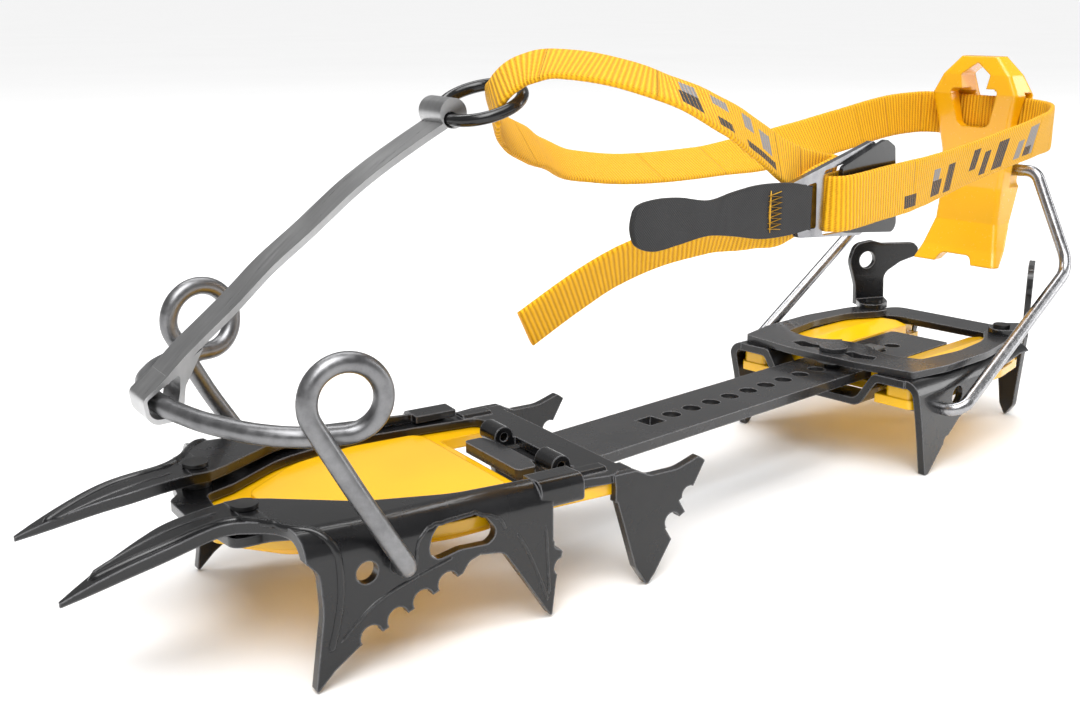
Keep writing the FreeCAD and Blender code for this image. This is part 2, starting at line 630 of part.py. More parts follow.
# --- toe bail, link and ring --------------------------------------------------------------------
LOOP_CENTRE = Vector(53.3, 41.7, 64.6)
LOOP_R = 8.0
LOOP_TURN = 15.0            # the loops toe in towards the front of the boot
LOOP_START = 209.0          # where the leg meets the loop; 0 is rearward and 90 is up
LOOP_SPAN = 299.0
LOOP_CORNERS = 7
BOW_X = 27.6                # middle of the toe bow, which the link hangs on
BOW_Z = 58.3
LINK_HALF = 5.2
LINK_THICK = 1.7
LINK_LINE = [(29.4, 63.5), (34.6, 68.3), (47.1, 78.4), (53.7, 84.2), (63.0, 91.0), (74.3, 99.6),
             (87.9, 108.0), (98.0, 113.4)]
RING_CENTRE = Vector(108.0, -3.4, 118.0)


def loop_corner(number, side):
    """Corner of the loop's many-sided frame, drifting from the leg's plane to the bow's."""
    turn = math.radians(LOOP_TURN)
    along = Vector(math.cos(turn), math.sin(turn), 0)
    outward = Vector(-math.sin(turn), math.cos(turn), 0)
    step = LOOP_SPAN / LOOP_CORNERS
    angle = math.radians(LOOP_START - step * (number + 0.5))
    reach = LOOP_R / math.cos(math.radians(step / 2.0))
    drift = 2.5 - 5.0 * number / (LOOP_CORNERS - 1)
    flat = along * (reach * math.cos(angle)) + Vector(0, 0, reach * math.sin(angle))
    place = LOOP_CENTRE + flat + outward * drift
    return Vector(place.x, place.y * side, place.z)


def toe_bail_half(side):
    """Corners of one half: wall end, leg, side loop and half of the toe bow."""
    points = [
        (Vector(TOE_HOLE_X, 31.6 * side, TOE_HOLE_Z), 0),
        (Vector(TOE_HOLE_X, 42.6 * side, TOE_HOLE_Z), 3.4),
        (Vector(54.8, 43.8 * side, 44.0), 60.0),
    ]
    for number in range(LOOP_CORNERS):
        points.append((loop_corner(number, side), LOOP_R * 0.985))
    points += [
        (Vector(45.4, 37.2 * side, 56.8), 22.0),
        (Vector(37.5, 29.6 * side, 57.2), 28.0),
        (Vector(31.5, 18.8 * side, 57.8), 28.0),
        (Vector(28.5, 9.0 * side, 58.2), 28.0),
    ]
    return points


def make_toe_bail():
    """Springy wire over the boot's toe, with one loop on each side and ends in the walls."""
    middle = (Vector(BOW_X, 0, BOW_Z), 28.0)
    pieces = [wire_rod(toe_bail_half(1) + [middle] + toe_bail_half(-1)[::-1], TOE_WIRE_R)]
    for side in (-1, 1):
        pieces.append(cylinder(2.9, 2.0, (TOE_HOLE_X, 32.4 * side - 1.0, TOE_HOLE_Z), (0, 1, 0)))
    return joined(pieces)


def link_strip():
    upper = Part.BSplineCurve()
    upper.interpolate([Vector(x, 0, z + LINK_THICK / 2) for x, z in LINK_LINE])
    lower = Part.BSplineCurve()
    lower.interpolate([Vector(x, 0, z - LINK_THICK / 2) for x, z in LINK_LINE])
    ends = []
    for x, z in (LINK_LINE[0], LINK_LINE[-1]):
        ends.append((Vector(x, 0, z + LINK_THICK / 2), Vector(x, 0, z - LINK_THICK / 2)))
    edges = [
        upper.toShape(),
        Part.LineSegment(ends[1][0], ends[1][1]).toShape(),
        lower.toShape(),
        Part.LineSegment(ends[0][1], ends[0][0]).toShape(),
    ]
    strip = Part.Face(Part.Wire(edges)).extrude(Vector(0, 2 * LINK_HALF, 0))
    strip.translate(Vector(0, -LINK_HALF, 0))
    return strip


def make_toe_link():
    """Bowed steel strip, doubled and welded, with an eye for the bail and one for the ring."""
    teardrop = [
        (BOW_X - 3.8, BOW_Z + 1.6, 2.0), (BOW_X - 2.9, BOW_Z - 4.3, 3.0),
        (BOW_X + 4.6, BOW_Z - 3.9, 3.0), (BOW_X + 5.6, BOW_Z + 3.4, 3.0),
        (BOW_X + 10.0, BOW_Z + 11.2), (BOW_X + 1.8, BOW_Z + 6.0),
    ]
    inside = [
        (BOW_X - 2.9, BOW_Z + 1.4, 1.0), (BOW_X - 2.3, BOW_Z - 3.0, 2.2),
        (BOW_X + 3.2, BOW_Z - 3.0, 2.2), (BOW_X + 4.4, BOW_Z + 3.2, 2.0),
        (BOW_X + 4.6, BOW_Z + 6.4, 0.6),
    ]
    eye = prism(teardrop, "xz", -LINK_HALF, LINK_HALF)
    eye = eye.cut(prism(inside, "xz", -LINK_HALF - 1, LINK_HALF + 1))
    body = joined([link_strip(), eye, ring_eye()])
    run, across = ring_axes()
    path = Part.makeTorus(RING_R, RING_WIRE_R + 0.4, RING_CENTRE, run.cross(across))
    return body.cut(path)


def ring_eye():
    """Rolled upper end of the link, round the ring's wire."""
    run, across = ring_axes()
    seat = RING_CENTRE - run * RING_R
    eye = cylinder(3.5, 2 * LINK_HALF, (seat.x, -LINK_HALF, seat.z), (0, 1, 0))
    return eye


def ring_axes():
    """Run from the link to the strap, and the ring's other in-plane direction."""
    run = Vector(0.86, -0.50, 0.22).normalize()
    across = Vector(-0.48, -0.82, -0.31)
    across = (across - run * across.dot(run)).normalize()
    return run, across


def make_tether_ring():
    run, across = ring_axes()
    return Part.makeTorus(RING_R, RING_WIRE_R, RING_CENTRE, run.cross(across))


# --- strap --------------------------------------------------------------------------------------
UPRIGHT = (0, 0, 1)
# centre line of the webbing, and the direction of its width: the leg on the outer side
NEAR_LEG = [
    ((331.2, 0.0, 101.8), UPRIGHT), ((331.2, -16.0, 101.6), UPRIGHT),
    ((330.2, -21.5, 101.2), UPRIGHT), ((326.0, -27.2, 100.9), UPRIGHT),
    ((315.0, -33.0, 100.6), UPRIGHT), ((300.0, -36.6, 99.8), UPRIGHT),
    ((276.0, -38.2, 97.2), UPRIGHT), ((252.0, -38.6, 94.2), UPRIGHT),
    ((232.0, -40.4, 93.0), UPRIGHT), ((218.0, -42.3, 92.4), UPRIGHT),
    ((206.0, -42.4, 92.0), UPRIGHT), ((191.0, -42.4, 91.0), UPRIGHT),
    ((187.6, -41.4, 90.8), UPRIGHT), ((186.2, -38.8, 90.8), UPRIGHT),
    ((187.4, -37.2, 90.8), UPRIGHT), ((198.0, -37.15, 91.6), UPRIGHT),
]
# the same strap on the inner side
FAR_LEG = [
    ((331.2, 0.0, 101.8), UPRIGHT), ((331.2, 13.6, 102.0), UPRIGHT),
    ((329.6, 18.0, 102.2), UPRIGHT), ((325.0, 21.4, 102.2), UPRIGHT),
    ((312.0, 25.0, 101.4), UPRIGHT), ((285.0, 28.6, 97.2), (0, 0.35, 1)),
    ((253.0, 30.0, 93.6), (0, 0.8, 0.8)), ((223.0, 30.5, 92.4), (0, 1, 0.4)),
    ((190.0, 30.5, 93.0), (0, 1, 0.4)), ((165.0, 30.0, 96.0), (0, 1, 0.4)),
    ((152.0, 27.6, 99.8), (-0.2, 1, 0.4)), ((142.0, 21.6, 104.2), (-0.4, 0.9, 0.2)),
    ((133.0, 12.0, 109.2), (-0.35, 0.75, 0.35)), ((126.6, 3.0, 113.2), (0.0, 0.45, 0.85)),
]
# the part that runs over the instep from the buckle up to the ring
TOP_LEG = [
    ((193.0, -32.4, 95.4), UPRIGHT), ((182.0, -33.4, 98.6), (0.2, 0.1, 1)),
    ((172.0, -34.2, 103.4), (0.4, 0.2, 1)), ((160.0, -34.9, 109.6), (0.4, 0.3, 0.9)),
    ((148.0, -34.6, 115.4), (0.4, 0.5, 0.8)), ((136.0, -31.4, 121.0), (0.3, 0.6, 0.7)),
    ((127.0, -25.0, 124.8), (0.15, 0.65, 0.75)), ((121.8, -16.6, 125.8), (0.35, 0.72, 0.6)),
]
TAIL = [
    ((193.0, -32.4, 95.4), UPRIGHT), ((195.2, -32.4, 95.2), UPRIGHT),
    ((196.7, -33.8, 95.0), UPRIGHT), ((195.2, -35.2, 94.8), UPRIGHT),
    ((193.0, -35.2, 94.4), UPRIGHT), ((186.0, -35.3, 92.6), UPRIGHT),
    ((180.0, -35.4, 90.4), UPRIGHT), ((172.0, -35.7, 88.2), UPRIGHT),
    ((165.0, -34.6, 87.6), (-0.12, -0.12, 1)), ((152.0, -30.6, 86.3), (-0.3, -0.3, 0.9)),
    ((140.4, -24.6, 83.2), (-0.42, -0.45, 0.8)), ((129.8, -20.2, 79.7), (-0.44, -0.48, 0.76)),
    ((120.7, -16.8, 74.2), (-0.44, -0.48, 0.76)), ((108.9, -10.9, 65.9), (-0.44, -0.48, 0.76)),
]


def band(stations, widths=None, before=None, after=None):
    """Webbing through stations (centre, width direction), as a lofted thin box.

    before and after are the stations of the neighbouring bands, so that the ends meet flush.
    """
    places = [Vector(*(before or stations[0])[0])]
    places += [Vector(*station[0]) for station in stations]
    places.append(Vector(*(after or stations[-1])[0]))
    sections = []
    for index, (centre, width) in enumerate(stations):
        run = (places[index + 2] - places[index]).normalize()
        side = Vector(*width)
        half = (widths[index] if widths else WEB_WIDTH) / 2.0
        side = (side - run * side.dot(run)).normalize() * half
        face = run.cross(side).normalize() * (WEB_THICK / 2.0)
        middle = Vector(*centre)
        corners = [middle + side + face, middle + side - face, middle - side - face,
                   middle - side + face]
        sections.append(Part.makePolygon(corners + [corners[0]]))
    lengths = [Part.makeLoft(list(pair), True, True) for pair in zip(sections, sections[1:])]
    return lengths[0].fuse(lengths[1:])


def ring_turn():
    """Stations of the strap round the rear end of the ring, from the top leg to the far leg."""
    run, across = ring_axes()
    up = across.cross(run).normalize()
    if up.z < 0:
        up = up * -1.0
    seat = turned_vector(RING_CENTRE + run * RING_R - Vector(YAW_X, 0, 0)) + Vector(YAW_X, 0, 0)
    run = turned_vector(run)
    up = turned_vector(up)
    width = tuple(turned_vector(across) * -1.0)
    radius = RING_WIRE_R + WEB_THICK / 2.0 + 0.8
    stations = [TOP_LEG[-1], (tuple(seat + run * 4.6 + up * (radius + 0.6)), width)]
    for angle in (90.0, 135.0, 180.0, 225.0, 270.0):
        bearing = math.radians(angle)
        back = (radius + 1.0) if math.cos(bearing) < -0.01 else radius
        place = seat + run * (back * math.cos(bearing)) + up * (radius * math.sin(bearing))
        stations.append((tuple(place), width))
    stations.append(FAR_LEG[-1])
    return stations


def between(shape, low, high):
    """The part of a strap between two places along the boot, a hair short at both ends."""
    return shape.common(box((low + 0.05, -80, 40), (high - 0.05, 80, 160)))


def make_strap_parts():
    """The webbing, divided where the mechanism can bend or shorten it."""
    near = band(NEAR_LEG[:-6])
    sewn = band(NEAR_LEG[-8:])
    route = ring_turn()
    far = band(FAR_LEG, None, None, route[-2])
    top = band(TOP_LEG, None, None, route[1])
    turn = band(route, [WEB_WIDTH, 11.0] + [9.0] * 5 + [WEB_WIDTH], TOP_LEG[-2], FAR_LEG[-2])
    parts = {
        "strap_lever": between(near, 316.0, 340.0).fuse(between(far, 316.0, 340.0)),
        "strap_near_rear": between(near, 300.0, 316.0),
        "strap_far_rear": between(far, 300.0, 316.0),
        "strap_near_slide": between(near, 222.0, 300.0),
        "strap_far_slide": between(far, 200.0, 300.0),
        "strap_near_buckle": between(sewn, 100.0, 222.0),
        "strap_far_middle": between(far, 152.0, 200.0),
        "strap_near_top": between(top, 137.0, 172.0),
        "strap_far_top": between(far, 140.0, 152.0),
        "strap_near_toe": between(top, 100.0, 137.0),
        "strap_far_toe": between(far, 100.0, 140.0),
        "strap_ring": turn,
    }
    tail = band(TAIL).fuse(between(top, 172.0, 193.05))
    parts["strap_tail"] = tail
    return parts


# --- buckle and pull tab ------------------------------------------------------------------------
FRAME_NEAR = -39.6          # outer face of the buckle's frame
FRAME_FAR = -38.0


def make_buckle_frame():
    """Steel frame with one slot for the pull tab and tail, and one for the sewn strap."""
    face = [
        (170.6, 97.2, 1.2), (205.6, 105.4, 2.0), (208.4, 103.4, 1.5), (203.4, 80.8, 2.5),
        (175.0, 83.4, 1.5),
    ]
    frame = prism(face, "xz", FRAME_NEAR, FRAME_FAR)
    front_slot = [(178.0, 96.4, 0.8), (181.6, 96.8, 0.8), (182.2, 85.0, 0.8), (179.0, 85.2, 0.8)]
    rear_slot = [(184.6, 99.4, 1.0), (199.2, 101.2, 1.0), (199.6, 82.6, 1.0), (185.0, 82.8, 1.0)]
    for slot in (front_slot, rear_slot):
        frame = frame.cut(prism(slot, "xz", FRAME_NEAR - 1, FRAME_FAR + 1))
    return frame


def make_buckle_plate():
    """Coated plate on the outer face of the frame, under the sewn end of the strap."""
    face = [
        (190.6, 99.8, 1.5), (209.8, 105.6, 2.5), (214.0, 103.4, 1.5), (217.2, 80.2, 2.5),
        (192.6, 82.8, 1.5),
    ]
    return prism(face, "xz", FRAME_NEAR - 1.35, FRAME_NEAR - 0.05)


def make_pull_tab():
    """Fabric tab, folded round the frame's front bar and stitched to itself."""
    face = [
        (113.2, 98.0, 3.0), (128.0, 98.6, 12.0), (140.0, 96.6, 14.0), (152.0, 98.4, 14.0),
        (170.0, 98.2, 8.0), (178.8, 95.9, 0.4), (178.8, 85.6, 0.4), (160.0, 85.0, 12.0),
        (138.0, 88.6, 12.0), (122.0, 87.6, 4.0), (113.4, 90.6, 3.0),
    ]
    front = prism(face, "xz", FRAME_NEAR - 1.5, FRAME_NEAR - 0.1)
    back = prism([(166.0, 95.9), (178.8, 95.9), (178.8, 85.6), (166.0, 85.6)], "xz",
                 FRAME_FAR + 0.1, FRAME_FAR + 0.6)
    fold = prism([(178.4, 95.9), (180.2, 95.9), (180.2, 86.0), (179.4, 86.0)], "xz",
                 FRAME_NEAR - 1.5, FRAME_FAR + 0.6)
    seam = prism([(160.0, 95.9), (168.2, 95.9), (168.2, 86.2), (160.0, 86.2)], "xz",
                 FRAME_NEAR - 0.2, FRAME_FAR + 0.6)
    return joined([front, back, fold, seam])


def make_part_list():
    """Every node by name, before the front pieces are turned."""
    front = {
        "front_frame": make_front_frame(),
        "cross_yoke": make_cross_yoke(),
        "front_antibott": make_front_antibott(),
        "front_rivets": make_front_rivets(),
        "toe_bail": make_toe_bail(),
        "toe_link": make_toe_link(),
        "tether_ring": make_tether_ring(),
    }
    straight = {
        "center_bar": make_center_bar(),
        "heel_frame": make_heel_frame(),
        "heel_cradle": make_heel_cradle(),
        "cradle_posts": make_cradle_posts(),
        "cradle_rivets": make_cradle_rivets(),
        "heel_antibott": make_heel_antibott(),
        "latch_pin": make_latch_pin(),
        "latch_spring": make_latch_spring(),
        "rear_bail": make_rear_bail(),
        "heel_lever": make_heel_lever(),
        "buckle_frame": make_buckle_frame(),
        "buckle_plate": make_buckle_plate(),
        "pull_tab": make_pull_tab(),
    }
    straight.update(make_strap_parts())
    return front, straight


def turned_vector(vector):
    """A direction of the front section, turned with it."""
    turn = math.radians(FRONT_YAW)
    x = vector.x * math.cos(turn) - vector.y * math.sin(turn)
    y = vector.x * math.sin(turn) + vector.y * math.cos(turn)
    return Vector(x, y, vector.z)


def turned_front(shape):
    """Turn a piece of the front section against the bar."""
    turned = shape.copy()
    turned.rotate(Vector(YAW_X, 0, 0), Vector(0, 0, 1), FRONT_YAW)
    return turned


def export(name, shape):
    moved = shape.copy()
    moved.translate(Vector(-ORIGIN_X, -ORIGIN_Y, 0))
    moved.exportStep("parts/" + name + ".step")
    limits = moved.optimalBoundingBox()
    print("%-18s solids %d valid %s volume %8.1f  x %.1f %.1f  y %.1f %.1f  z %.1f %.1f" % (
        name, len(moved.Solids), moved.isValid(), moved.Volume, limits.XMin, limits.XMax,
        limits.YMin, limits.YMax, limits.ZMin, limits.ZMax))


def main():
    os.makedirs("parts", exist_ok=True)
    front, straight = make_part_list()
    for name, shape in front.items():
        export(name, turned_front(shape))
    for name, shape in straight.items():
        export(name, shape)


main()
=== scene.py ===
"""Looks of the strap-on crampon: webbing, buckle, tab, wires, lever and materials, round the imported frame."""
import math

import bmesh
import bpy
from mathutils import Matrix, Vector


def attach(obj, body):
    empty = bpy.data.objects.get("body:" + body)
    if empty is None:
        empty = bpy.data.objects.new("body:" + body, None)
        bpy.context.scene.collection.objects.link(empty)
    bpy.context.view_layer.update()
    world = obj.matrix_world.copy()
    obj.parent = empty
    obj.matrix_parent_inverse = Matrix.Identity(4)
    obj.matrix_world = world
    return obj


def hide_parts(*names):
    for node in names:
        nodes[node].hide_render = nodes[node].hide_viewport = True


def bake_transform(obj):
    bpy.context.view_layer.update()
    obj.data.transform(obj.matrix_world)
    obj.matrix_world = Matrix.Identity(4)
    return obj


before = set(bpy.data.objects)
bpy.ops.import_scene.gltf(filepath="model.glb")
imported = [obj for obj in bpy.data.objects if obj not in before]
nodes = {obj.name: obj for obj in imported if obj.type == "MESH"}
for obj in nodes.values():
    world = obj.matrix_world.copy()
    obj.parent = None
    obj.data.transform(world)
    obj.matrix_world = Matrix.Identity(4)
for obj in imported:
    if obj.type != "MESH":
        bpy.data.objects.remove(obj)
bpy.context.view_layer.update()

ORIGIN = Vector((169.6, 8.5, 0.0))      # drawing place of the row's origin, in millimetres
YAW = math.radians(-9.7)                # the front section's turn about (146.4, 0)
YAW_X = 146.4
RIB = 1.22                              # spacing of the webbing's cross ribs


def place(x, y, z):
    """A drawing place in millimetres, in the row frame."""
    return (Vector((x, y, z)) - ORIGIN) / 1000.0


def turned(x, y, z):
    """A place on the front section, drawn straight, as a drawing place."""
    dx = x - YAW_X
    return Vector((YAW_X + dx * math.cos(YAW) - y * math.sin(YAW),
                   dx * math.sin(YAW) + y * math.cos(YAW), z))


def front(x, y, z):
    return place(*turned(x, y, z))


# --- materials ----------------------------------------------------------------------------------
def new_material(name):
    material = bpy.data.materials.new(name)
    material.use_nodes = True
    tree = material.node_tree
    return material, tree.nodes, tree.links, tree.nodes["Principled BSDF"]


def ramp(nodes_, links, source, stops):
    node = nodes_.new("ShaderNodeValToRGB")
    elements = node.color_ramp.elements
    while len(elements) < len(stops):
        elements.new(0.5)
    for element, (position, colour) in zip(elements, stops):
        element.position = position
        element.color = (*colour, 1.0) if len(colour) == 3 else colour
    links.new(source, node.inputs["Fac"])
    return node.outputs["Color"]


def noise(nodes_, links, vector, scale, detail=4.0, rough=0.6):
    node = nodes_.new("ShaderNodeTexNoise")
    node.inputs["Scale"].default_value = scale
    node.inputs["Detail"].default_value = detail
    node.inputs["Roughness"].default_value = rough
    links.new(vector, node.inputs["Vector"])
    return node.outputs["Fac"]


def math_node(nodes_, links, operation, a, b=None):
    node = nodes_.new("ShaderNodeMath")
    node.operation = operation
    for socket, value in zip(node.inputs, (a, b)):
        if value is None:
            continue
        if isinstance(value, (int, float)):
            socket.default_value = value
        else:
            links.new(value, socket)
    return node.outputs["Value"]


def mix(nodes_, links, factor, a, b):
    node = nodes_.new("ShaderNodeMix")
    node.data_type = "RGBA"
    if isinstance(factor, (int, float)):
        node.inputs["Factor"].default_value = factor
    else:
        links.new(factor, node.inputs["Factor"])
    for socket, value in ((node.inputs["A"], a), (node.inputs["B"], b)):
        if isinstance(value, tuple):
            socket.default_value = (*value, 1.0)
        else:
            links.new(value, socket)
    return node.outputs["Result"]


def bump(nodes_, links, shader, heights):
    """Chain of bumps: (height, strength, distance in metres)."""
    previous = None
    for height, strength, distance in heights:
        node = nodes_.new("ShaderNodeBump")
        node.inputs["Strength"].default_value = strength
        node.inputs["Distance"].default_value = distance
        links.new(height, node.inputs["Height"])
        if previous is not None:
            links.new(previous, node.inputs["Normal"])
        previous = node.outputs["Normal"]
    links.new(previous, shader.inputs["Normal"])


def edge_mask(nodes_, links, radius):
    """1 near sharp edges and 0 on flats."""
    bevel = nodes_.new("ShaderNodeBevel")
    bevel.samples = 4
    bevel.inputs["Radius"].default_value = radius
    geometry = nodes_.new("ShaderNodeNewGeometry")
    dot = nodes_.new("ShaderNodeVectorMath")
    dot.operation = "DOT_PRODUCT"
    links.new(bevel.outputs["Normal"], dot.inputs[0])
    links.new(geometry.outputs["Normal"], dot.inputs[1])
    gap = math_node(nodes_, links, "SUBTRACT", 1.0, dot.outputs["Value"])
    return math_node(nodes_, links, "MULTIPLY", gap, 6.0), bevel.outputs["Normal"]


def object_vector(nodes_):
    return nodes_.new("ShaderNodeTexCoord").outputs["Object"]


def coated_steel(name, dark, light, rough_low, rough_high, edge_highlight, edge):
    """Coated or blackened steel with a fine orange-peel skin and a painted edge highlight: a paler colour mixed in
    where the bevel normal finds an edge, broken up by noise.
    """
    material, nodes_, links, shader = new_material(name)
    vector = object_vector(nodes_)
    cloud = noise(nodes_, links, vector, 55.0, 5.0)
    base = ramp(nodes_, links, cloud, [(0.3, dark), (0.7, light)])
    mask, soft = edge_mask(nodes_, links, edge)
    # Painted highlight: a paler colour on the edges, broken up by fine noise, stands in for light caught by the edges.
    highlight_breakup = noise(nodes_, links, vector, 900.0, 3.0)
    edge_highlight_mask = math_node(nodes_, links, "MULTIPLY", mask, highlight_breakup)
    edge_highlight_mask = ramp(nodes_, links, edge_highlight_mask, [(0.12, (0, 0, 0)), (0.55, (1, 1, 1))])
    links.new(mix(nodes_, links, edge_highlight_mask, base, edge_highlight), shader.inputs["Base Color"])
    grain = noise(nodes_, links, vector, 420.0, 6.0, 0.7)
    rough = ramp(nodes_, links, cloud, [(0.25, (rough_low,) * 3), (0.75, (rough_high,) * 3)])
    links.new(rough, shader.inputs["Roughness"])
    shader.inputs["Metallic"].default_value = 0.0
    shader.inputs["Specular IOR Level"].default_value = 0.32
    shader.inputs["Coat Weight"].default_value = 0.35
    shader.inputs["Coat Roughness"].default_value = 0.09
    node = nodes_.new("ShaderNodeBump")
    node.inputs["Strength"].default_value = 0.22
    node.inputs["Distance"].default_value = 0.0001
    links.new(grain, node.inputs["Height"])
    links.new(soft, node.inputs["Normal"])
    links.new(node.outputs["Normal"], shader.inputs["Normal"])
    return material


def bare_steel(name, dark, light, rough, stretch, edge=0.0003):
    """Drawn or brushed steel with fine streaks."""
    material, nodes_, links, shader = new_material(name)
    vector = object_vector(nodes_)
    mapping = nodes_.new("ShaderNodeMapping")
    mapping.inputs["Scale"].default_value = stretch
    links.new(vector, mapping.inputs["Vector"])
    streaks = noise(nodes_, links, mapping.outputs["Vector"], 500.0, 5.0, 0.65)
    cloud = noise(nodes_, links, vector, 70.0, 3.0)
    tone = math_node(nodes_, links, "ADD", math_node(nodes_, links, "MULTIPLY", streaks, 0.5),
                     math_node(nodes_, links, "MULTIPLY", cloud, 0.5))
    links.new(ramp(nodes_, links, tone, [(0.32, dark), (0.68, light)]), shader.inputs["Base Color"])
    links.new(ramp(nodes_, links, streaks, [(0.3, (rough - 0.06,) * 3), (0.7, (rough + 0.08,) * 3)]),
              shader.inputs["Roughness"])
    shader.inputs["Metallic"].default_value = 1.0
    bump(nodes_, links, shader, [(streaks, 0.12, 0.00005)])
    return material


def glossy_plastic(name, colour, deep, rough):
    """Moulded plastic: even colour, slight flow marks, soft edges and a clear gloss."""
    material, nodes_, links, shader = new_material(name)
    vector = object_vector(nodes_)
    flow = noise(nodes_, links, vector, 14.0, 3.0)
    links.new(ramp(nodes_, links, flow, [(0.3, deep), (0.7, colour)]), shader.inputs["Base Color"])
    fine = noise(nodes_, links, vector, 800.0, 2.0)
    links.new(ramp(nodes_, links, fine, [(0.3, (rough,) * 3), (0.7, (rough + 0.08,) * 3)]),
              shader.inputs["Roughness"])
    shader.inputs["Subsurface Weight"].default_value = 0.06
    shader.inputs["Subsurface Radius"].default_value = (0.002, 0.001, 0.0004)
    shader.inputs["Subsurface Scale"].default_value = 0.5
    shader.inputs["Coat Weight"].default_value = 0.35
    shader.inputs["Coat Roughness"].default_value = 0.08
    mask, soft = edge_mask(nodes_, links, 0.0008)
    node = nodes_.new("ShaderNodeBump")
    node.inputs["Strength"].default_value = 0.05
    node.inputs["Distance"].default_value = 0.0001
    links.new(fine, node.inputs["Height"])
    links.new(soft, node.inputs["Normal"])
    links.new(node.outputs["Normal"], shader.inputs["Normal"])
    return material


def webbing(name, blocks):
    """Ribbed polyester webbing. The UV map runs in millimetres: u along the strap, v across it."""
    material, nodes_, links, shader = new_material(name)
    uv = nodes_.new("ShaderNodeUVMap")
    uv.uv_map = "UVMap"
    split = nodes_.new("ShaderNodeSeparateXYZ")
    links.new(uv.outputs["UV"], split.inputs["Vector"])
    along, across = split.outputs["X"], split.outputs["Y"]
    wobble = noise(nodes_, links, uv.outputs["UV"], 0.9, 2.0)
    drift = math_node(nodes_, links, "MULTIPLY", wobble, 0.35)
    rib = math_node(nodes_, links, "SINE",
                    math_node(nodes_, links, "MULTIPLY",
                              math_node(nodes_, links, "ADD", along, drift), 2 * math.pi / RIB))
    rib = math_node(nodes_, links, "ADD", math_node(nodes_, links, "MULTIPLY", rib, 0.5), 0.5)
    yarn = math_node(nodes_, links, "SINE",
                     math_node(nodes_, links, "ADD",
                               math_node(nodes_, links, "MULTIPLY", across, 2 * math.pi / 0.62),
                               math_node(nodes_, links, "MULTIPLY", along, 2 * math.pi / RIB)))
    yarn = math_node(nodes_, links, "ADD", math_node(nodes_, links, "MULTIPLY", yarn, 0.5), 0.5)
    fibre = noise(nodes_, links, uv.outputs["UV"], 9.0, 4.0, 0.75)
    bright = (0.86, 0.43, 0.004)
    deep = (0.52, 0.22, 0.001)
    # Painted shade and highlight: the colour is darker in the troughs between ribs and yarns and paler on their
    # crests; the fibre noise adds random tone.
    shade = math_node(nodes_, links, "ADD", math_node(nodes_, links, "MULTIPLY", rib, 0.6),
                      math_node(nodes_, links, "MULTIPLY", yarn, 0.25))
    shade = math_node(nodes_, links, "ADD", shade, math_node(nodes_, links, "MULTIPLY", fibre, 0.2))
    colour = ramp(nodes_, links, shade, [(0.12, deep), (0.55, bright), (0.95, (0.93, 0.51, 0.008))])
    for low, high, inner, outer, tone in blocks:
        gate = None
        for source, edge, side in ((along, low, 1), (along, high, -1), (across, inner, 1),
                                   (across, outer, -1)):
            operation = "GREATER_THAN" if side > 0 else "LESS_THAN"
            step = math_node(nodes_, links, operation, source, edge)
            gate = step if gate is None else math_node(nodes_, links, "MULTIPLY", gate, step)
        yarn_gate = math_node(nodes_, links, "GREATER_THAN",
                              math_node(nodes_, links, "ADD", rib, fibre), 0.52)
        gate = math_node(nodes_, links, "MULTIPLY", gate, yarn_gate)
        colour = mix(nodes_, links, gate, colour, tone)
    links.new(colour, shader.inputs["Base Color"])
    shader.inputs["Roughness"].default_value = 0.62
    shader.inputs["Sheen Weight"].default_value = 0.04
    shader.inputs["Sheen Roughness"].default_value = 0.4
    shader.inputs["Specular IOR Level"].default_value = 0.3
    bump(nodes_, links, shader, [(rib, 0.7, 0.0004), (yarn, 0.35, 0.00015), (fibre, 0.3, 0.0001)])
    return material


def black_tape(name):
    """Tightly woven black tape with a faint grid and stray pale fibres."""
    material, nodes_, links, shader = new_material(name)
    vector = object_vector(nodes_)
    split = nodes_.new("ShaderNodeSeparateXYZ")
    links.new(vector, split.inputs["Vector"])
    warp = math_node(nodes_, links, "SINE", math_node(nodes_, links, "MULTIPLY", split.outputs["X"], 9000.0))
    weft = math_node(nodes_, links, "SINE", math_node(nodes_, links, "MULTIPLY", split.outputs["Z"], 9000.0))
    grid = math_node(nodes_, links, "MULTIPLY", warp, weft)
    fibre = noise(nodes_, links, vector, 1500.0, 5.0, 0.8)
    cloud = noise(nodes_, links, vector, 60.0, 3.0)
    base = ramp(nodes_, links, cloud, [(0.3, (0.009, 0.009, 0.010)), (0.7, (0.018, 0.018, 0.019))])
    specks = ramp(nodes_, links, fibre, [(0.66, (0, 0, 0)), (0.74, (1, 1, 1))])
    links.new(mix(nodes_, links, specks, base, (0.05, 0.05, 0.052)), shader.inputs["Base Color"])
    shader.inputs["Roughness"].default_value = 0.8
    shader.inputs["Sheen Weight"].default_value = 0.08
    bump(nodes_, links, shader, [(grid, 0.4, 0.00012), (fibre, 0.4, 0.0001)])
    return material


